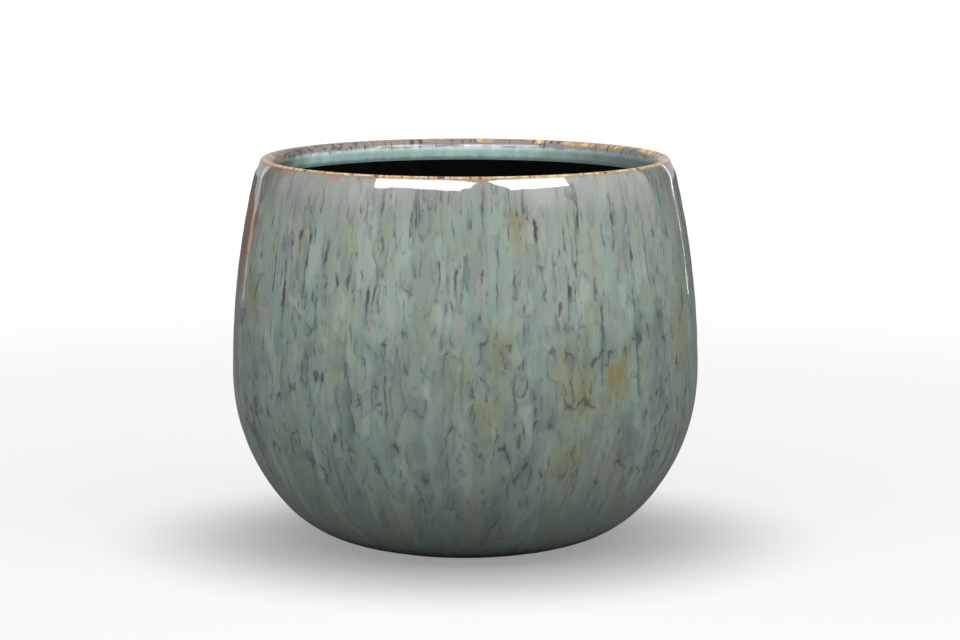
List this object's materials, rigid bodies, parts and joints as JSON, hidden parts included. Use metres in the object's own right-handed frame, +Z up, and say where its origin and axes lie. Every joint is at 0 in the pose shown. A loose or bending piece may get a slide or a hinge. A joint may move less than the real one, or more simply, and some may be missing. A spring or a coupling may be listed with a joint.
{
  "type": "cachepot",
  "caption": "Round glazed stoneware cachepot that narrows to a rounded lip, with a sealed inside for a nursery pot and a bare foot ring.",
  "frame": {"origin": "on the table, under the middle of the foot ring", "axes": "+Z up along the pot's axis, +X and +Y level; the pot is round, so any side can be the front"},
  "size_m": [0.24, 0.24, 0.1995],
  "materials": {
    "stoneware": "bare fired clay, matt and slightly gritty",
    "outside_glaze": "high gloss reactive glaze in grey-green and aqua with dark blue-grey runs",
    "lip_glaze": "high gloss amber where the glaze breaks thin over the edge",
    "inside_glaze": "high gloss turquoise",
    "sealing_coat": "black brushed waterproof coat, satin"
  },
  "bodies": {
    "root": {"stoneware_body": "stoneware", "outside_glaze": "outside_glaze", "lip_glaze": "lip_glaze", "inside_glaze": "inside_glaze", "sealing_coat": "sealing_coat"}
  },
  "joints": []
}
